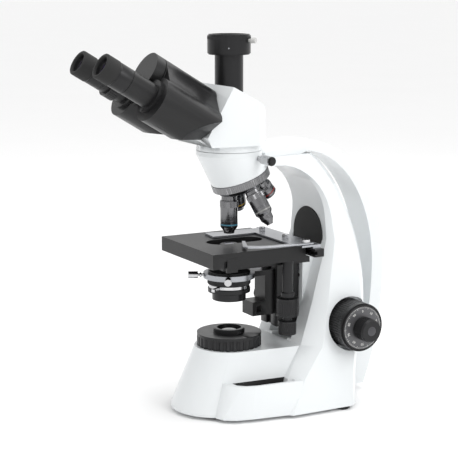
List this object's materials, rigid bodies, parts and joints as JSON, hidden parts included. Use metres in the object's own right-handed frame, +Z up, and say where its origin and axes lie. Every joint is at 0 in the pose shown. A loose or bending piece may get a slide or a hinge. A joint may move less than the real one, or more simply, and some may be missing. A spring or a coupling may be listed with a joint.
{
  "type": "microscope",
  "caption": "Upright trinocular laboratory microscope with a curved carrying bow, coaxial focus knobs, moving stage, condenser, tilted turret and a camera tube",
  "frame": {"origin": "on the table under the middle of the bounding box", "axes": "+Z up, the user sits on the -Y side, +X is the user's right"},
  "size_m": [0.2048, 0.3675, 0.421],
  "materials": {
    "paint_white": "fine textured gloss",
    "paint_dark": "satin",
    "anodised_black": "black anodised",
    "rubber": "moulded",
    "screw_steel": "blackened",
    "plastic_black": "fine grain",
    "steel": "ground",
    "aluminium_dark": "anodised dark",
    "aluminium": "machined",
    "glass": "polished",
    "board": "circuit board",
    "brass": "sintered bush",
    "plastic_gloss": "moulded",
    "dial_grey": "printed ring",
    "stage_black": "semi gloss ceramic coat",
    "chrome": "bright"
  },
  "bodies": {
    "stand": {"base_casting": "paint_white", "arm_casting": "paint_white", "carry_bow": "paint_white", "nose_housing": "paint_white", "base_plate": "paint_dark", "rubber_feet": "rubber", "cover_screws": "screw_steel", "front_panel": "paint_white", "arch_cover": "plastic_black", "guide_rail": "steel", "lamp_house": "aluminium_dark", "led_module": "aluminium", "collector_lens": "glass", "driver_board": "board", "power_inlet": "plastic_black", "shaft_bushes": "brass"},
    "rocker": {"power_rocker": "plastic_gloss"},
    "dimmer": {"dimmer_knob": "plastic_black"},
    "collector": {"field_ring": "anodised_black", "field_lens": "glass"},
    "coarse": {"coarse_shaft": "steel", "coarse_knob_right": "plastic_black", "coarse_knob_left": "plastic_black", "focus_dial": "dial_grey"},
    "fine": {"fine_shaft": "steel", "fine_knob_right": "anodised_black", "fine_knob_left": "anodised_black"},
    "lift": {"stage_carriage": "paint_dark", "focus_rack": "steel", "stage_base": "paint_dark"},
    "stage": {"stage_top": "stage_black", "drive_post": "anodised_black"},
    "y_drive": {"y_knob": "anodised_black"},
    "x_drive": {"x_knob": "anodised_black"},
    "holder": {"x_rail": "anodised_black", "slide_holder": "steel", "holder_screws": "chrome"},
    "finger": {"spring_finger": "steel"},
    "condenser": {"condenser_slide": "paint_dark", "condenser_barrel": "anodised_black", "condenser_lens": "glass", "centring_screws": "chrome"},
    "condenser_drive": {"condenser_knob": "plastic_black"},
    "iris": {"iris_lever": "chrome"},
    "tray": {"filter_tray": "anodised_black"},
    "nosepiece": {"turret": "chrome", "objective_4x": "chrome", "objective_10x": "chrome", "objective_40x": "chrome", "objective_100x": "chrome"},
    "head": {"head_housing": "paint_white", "beam_prism": "glass", "photo_tube": "anodised_black", "photo_clamp": "anodised_black"},
    "head_lock": {"head_lock_screw": "chrome"},
    "half_right": {"binocular_right": "paint_dark"},
    "half_left": {"binocular_left": "paint_dark"},
    "ocular_right": {"eyepiece_right": "anodised_black"},
    "ocular_left": {"eyepiece_left": "anodised_black"},
    "diopter": {"diopter_ring": "anodised_black"}
  },
  "joints": [
    {"name": "power_switch", "type": "hinge", "parent": "stand", "child": "rocker", "pos_m": [-0.039, 0.11529, 0.026], "axis": [1, 0, 0], "range_deg": [-8, 8]},
    {"name": "dimmer_turn", "type": "hinge", "parent": "stand", "child": "dimmer", "pos_m": [-0.07, 0.08085, 0.034], "axis": [1, 0, 0], "range_deg": [0, 270]},
    {"name": "collector_turn", "type": "hinge", "parent": "stand", "child": "collector", "pos_m": [0, -0.01115, 0.08], "axis": [0, 0, 1], "continuous": true},
    {"name": "stage_lift", "type": "slide", "parent": "stand", "child": "lift", "axis": [0, 0, 1], "range_m": [-0.008, 0.004]},
    {"name": "coarse_turn", "type": "hinge", "parent": "stand", "child": "coarse", "pos_m": [0, 0.11385, 0.0945], "axis": [1, 0, 0], "range_deg": [-180, 180]},
    {"name": "fine_turn", "type": "hinge", "parent": "stand", "child": "fine", "pos_m": [0, 0.11385, 0.0945], "axis": [1, 0, 0], "continuous": true},
    {"name": "stage_fore_aft", "type": "slide", "parent": "lift", "child": "stage", "axis": [0, 1, 0], "range_m": [-0.018, 0.01]},
    {"name": "y_knob_turn", "type": "hinge", "parent": "stage", "child": "y_drive", "pos_m": [0.05, 0.03585, 0.12], "axis": [0, 0, 1], "range_deg": [-180, 180]},
    {"name": "stage_cross", "type": "slide", "parent": "stage", "child": "holder", "axis": [1, 0, 0], "range_m": [-0.025, 0.025]},
    {"name": "x_knob_turn", "type": "hinge", "parent": "stage", "child": "x_drive", "pos_m": [0.05, 0.03585, 0.097], "axis": [0, 0, 1], "range_deg": [-180, 180]},
    {"name": "finger_swing", "type": "hinge", "parent": "holder", "child": "finger", "pos_m": [0.067, 0.04785, 0.194], "axis": [0, 0, 1], "range_deg": [0, 20], "stiffness_Nm_per_rad": 0.02},
    {"name": "condenser_lift", "type": "slide", "parent": "lift", "child": "condenser", "axis": [0, 0, 1], "range_m": [-0.0054, 0]},
    {"name": "condenser_turn", "type": "hinge", "parent": "lift", "child": "condenser_drive", "pos_m": [0, 0.04735, 0.12], "axis": [1, 0, 0], "range_deg": [-180, 180]},
    {"name": "iris_swing", "type": "hinge", "parent": "condenser", "child": "iris", "pos_m": [0, -0.01115, 0.141], "axis": [0, 0, 1], "range_deg": [-35, 20]},
    {"name": "tray_swing", "type": "hinge", "parent": "condenser", "child": "tray", "pos_m": [-0.018, -0.00065, 0.129], "axis": [0, 0, 1], "range_deg": [-90, 0]},
    {"name": "nosepiece_turn", "type": "hinge", "parent": "stand", "child": "nosepiece", "pos_m": [0, -0.01115, 0.298], "axis": [0, -0.3584, 0.9336], "continuous": true},
    {"name": "head_turn", "type": "hinge", "parent": "stand", "child": "head", "pos_m": [0, -0.01115, 0.294], "axis": [0, 0, 1], "continuous": true},
    {"name": "head_lock_turn", "type": "hinge", "parent": "stand", "child": "head_lock", "pos_m": [0.04, 0.00885, 0.2865], "axis": [1, 0, 0], "continuous": true},
    {"name": "eye_gap_right", "type": "hinge", "parent": "head", "child": "half_right", "pos_m": [0, -0.07374, 0.3606], "axis": [0, -0.8572, 0.515], "range_deg": [-1, 18]},
    {"name": "eye_gap_left", "type": "hinge", "parent": "head", "child": "half_left", "pos_m": [0, -0.07374, 0.3606], "axis": [0, -0.8572, 0.515], "range_deg": [-18, 1]},
    {"name": "eyepiece_right_slide", "type": "slide", "parent": "half_right", "child": "ocular_right", "axis": [0, -0.8572, 0.515], "range_m": [0, 0.03]},
    {"name": "eyepiece_left_slide", "type": "slide", "parent": "half_left", "child": "ocular_left", "axis": [0, -0.8572, 0.515], "range_m": [0, 0.03]},
    {"name": "diopter_turn", "type": "hinge", "parent": "half_left", "child": "diopter", "pos_m": [-0.03, -0.13633, 0.36905], "axis": [0, -0.8572, 0.515], "range_deg": [-90, 90]}
  ],
  "couplings": [
    {"joint": "coarse_turn", "follows": "stage_lift", "rad_per_m": -142.86},
    {"joint": "y_knob_turn", "follows": "stage_fore_aft", "rad_per_m": -100},
    {"joint": "x_knob_turn", "follows": "stage_cross", "rad_per_m": 80},
    {"joint": "condenser_turn", "follows": "condenser_lift", "rad_per_m": -200},
    {"joint": "eye_gap_left", "follows": "eye_gap_right", "ratio": -1}
  ]
}
